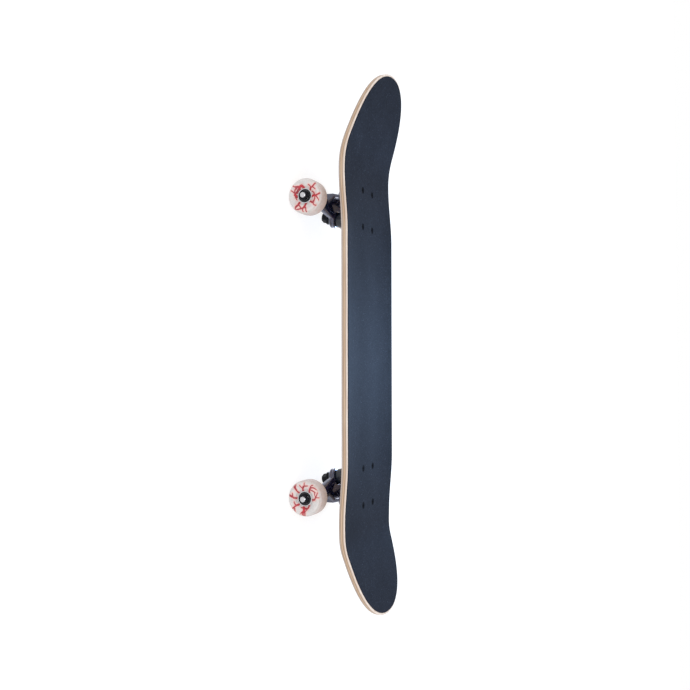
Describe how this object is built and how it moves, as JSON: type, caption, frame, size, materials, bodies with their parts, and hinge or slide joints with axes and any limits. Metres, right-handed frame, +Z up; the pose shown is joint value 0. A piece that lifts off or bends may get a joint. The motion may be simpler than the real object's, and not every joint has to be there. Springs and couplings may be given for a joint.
{
  "type": "skateboard",
  "caption": "Street skateboard with kicked nose and tail, concave laminated deck, grip tape, steering trucks and urethane wheels on ball bearings.",
  "frame": {"origin": "on the ground under the middle of the deck, wheels standing on z = 0", "axes": "+X towards the nose, +Y to the left edge, +Z up"},
  "size_m": [0.7914, 0.207, 0.1302],
  "materials": {
    "maple": "lacquered maple veneer, plies showing at the edge",
    "grip": "black silicon carbide grit on cloth backing",
    "truck_paint": "cast aluminium, gloss black paint",
    "black_steel": "black oxide steel",
    "bright_steel": "turned bright steel",
    "bearing_steel": "ground and polished bearing steel",
    "spacer_aluminium": "turned aluminium",
    "bushing_urethane": "cast black urethane",
    "wheel_urethane": "cast off-white urethane with printed red veins",
    "shield_rubber": "black moulded seal",
    "cage_nylon": "moulded nylon"
  },
  "bodies": {
    "deck": {"deck": "maple", "grip_tape": "grip", "front_mount_bolts": "black_steel", "front_mount_nuts": "black_steel", "front_baseplate": "truck_paint", "front_pivot_cup": "bushing_urethane", "front_kingpin": "black_steel", "front_kingpin_nut": "black_steel", "front_road_washer": "black_steel", "front_road_bushing": "bushing_urethane", "front_board_washer": "black_steel", "front_board_bushing": "bushing_urethane", "rear_mount_bolts": "black_steel", "rear_mount_nuts": "black_steel", "rear_baseplate": "truck_paint", "rear_pivot_cup": "bushing_urethane", "rear_kingpin": "black_steel", "rear_kingpin_nut": "black_steel", "rear_road_washer": "black_steel", "rear_road_bushing": "bushing_urethane", "rear_board_washer": "black_steel", "rear_board_bushing": "bushing_urethane"},
    "front_hanger": {"front_hanger": "truck_paint", "front_axle": "bright_steel", "front_axle_nuts": "black_steel", "front_speed_rings": "bright_steel", "front_bearing_spacers": "spacer_aluminium", "front_bearing_inner_rings": "bearing_steel"},
    "rear_hanger": {"rear_hanger": "truck_paint", "rear_axle": "bright_steel", "rear_axle_nuts": "black_steel", "rear_speed_rings": "bright_steel", "rear_bearing_spacers": "spacer_aluminium", "rear_bearing_inner_rings": "bearing_steel"},
    "front_left_wheel": {"front_left_wheel": "wheel_urethane", "front_left_bearing_outer_rings": "bearing_steel", "front_left_bearing_shields": "shield_rubber"},
    "front_left_balls": {"front_left_bearing_balls": "bearing_steel", "front_left_bearing_cages": "cage_nylon"},
    "front_right_wheel": {"front_right_wheel": "wheel_urethane", "front_right_bearing_outer_rings": "bearing_steel", "front_right_bearing_shields": "shield_rubber"},
    "front_right_balls": {"front_right_bearing_balls": "bearing_steel", "front_right_bearing_cages": "cage_nylon"},
    "rear_left_wheel": {"rear_left_wheel": "wheel_urethane", "rear_left_bearing_outer_rings": "bearing_steel", "rear_left_bearing_shields": "shield_rubber"},
    "rear_left_balls": {"rear_left_bearing_balls": "bearing_steel", "rear_left_bearing_cages": "cage_nylon"},
    "rear_right_wheel": {"rear_right_wheel": "wheel_urethane", "rear_right_bearing_outer_rings": "bearing_steel", "rear_right_bearing_shields": "shield_rubber"},
    "rear_right_balls": {"rear_right_bearing_balls": "bearing_steel", "rear_right_bearing_cages": "cage_nylon"}
  },
  "joints": [
    {"name": "front_steer", "type": "hinge", "parent": "deck", "child": "front_hanger", "pos_m": [0.18934, 0, 0.0345], "axis": [0.9063, 0, 0.4226], "range_deg": [-14, 14], "stiffness_Nm_per_rad": 100, "deforming": ["front_road_bushing", "front_board_bushing"]},
    {"name": "rear_steer", "type": "hinge", "parent": "deck", "child": "rear_hanger", "pos_m": [-0.20084, 0, 0.0345], "axis": [-0.9063, 0, 0.4226], "range_deg": [-14, 14], "stiffness_Nm_per_rad": 100, "deforming": ["rear_road_bushing", "rear_board_bushing"]},
    {"name": "front_left_spin", "type": "hinge", "parent": "front_hanger", "child": "front_left_wheel", "pos_m": [0.20924, 0.0825, 0.0255], "axis": [0, 1, 0], "continuous": true},
    {"name": "front_left_balls_roll", "type": "hinge", "parent": "front_hanger", "child": "front_left_balls", "pos_m": [0.20924, 0.0825, 0.0255], "axis": [0, 1, 0], "continuous": true},
    {"name": "front_right_spin", "type": "hinge", "parent": "front_hanger", "child": "front_right_wheel", "pos_m": [0.20924, -0.0825, 0.0255], "axis": [0, 1, 0], "continuous": true},
    {"name": "front_right_balls_roll", "type": "hinge", "parent": "front_hanger", "child": "front_right_balls", "pos_m": [0.20924, -0.0825, 0.0255], "axis": [0, 1, 0], "continuous": true},
    {"name": "rear_left_spin", "type": "hinge", "parent": "rear_hanger", "child": "rear_left_wheel", "pos_m": [-0.22074, 0.0825, 0.0255], "axis": [0, 1, 0], "continuous": true},
    {"name": "rear_left_balls_roll", "type": "hinge", "parent": "rear_hanger", "child": "rear_left_balls", "pos_m": [-0.22074, 0.0825, 0.0255], "axis": [0, 1, 0], "continuous": true},
    {"name": "rear_right_spin", "type": "hinge", "parent": "rear_hanger", "child": "rear_right_wheel", "pos_m": [-0.22074, -0.0825, 0.0255], "axis": [0, 1, 0], "continuous": true},
    {"name": "rear_right_balls_roll", "type": "hinge", "parent": "rear_hanger", "child": "rear_right_balls", "pos_m": [-0.22074, -0.0825, 0.0255], "axis": [0, 1, 0], "continuous": true}
  ],
  "couplings": [
    {"joint": "front_left_balls_roll", "follows": "front_left_spin", "ratio": 0.6323},
    {"joint": "front_right_balls_roll", "follows": "front_right_spin", "ratio": 0.6323},
    {"joint": "rear_left_balls_roll", "follows": "rear_left_spin", "ratio": 0.6323},
    {"joint": "rear_right_balls_roll", "follows": "rear_right_spin", "ratio": 0.6323}
  ]
}
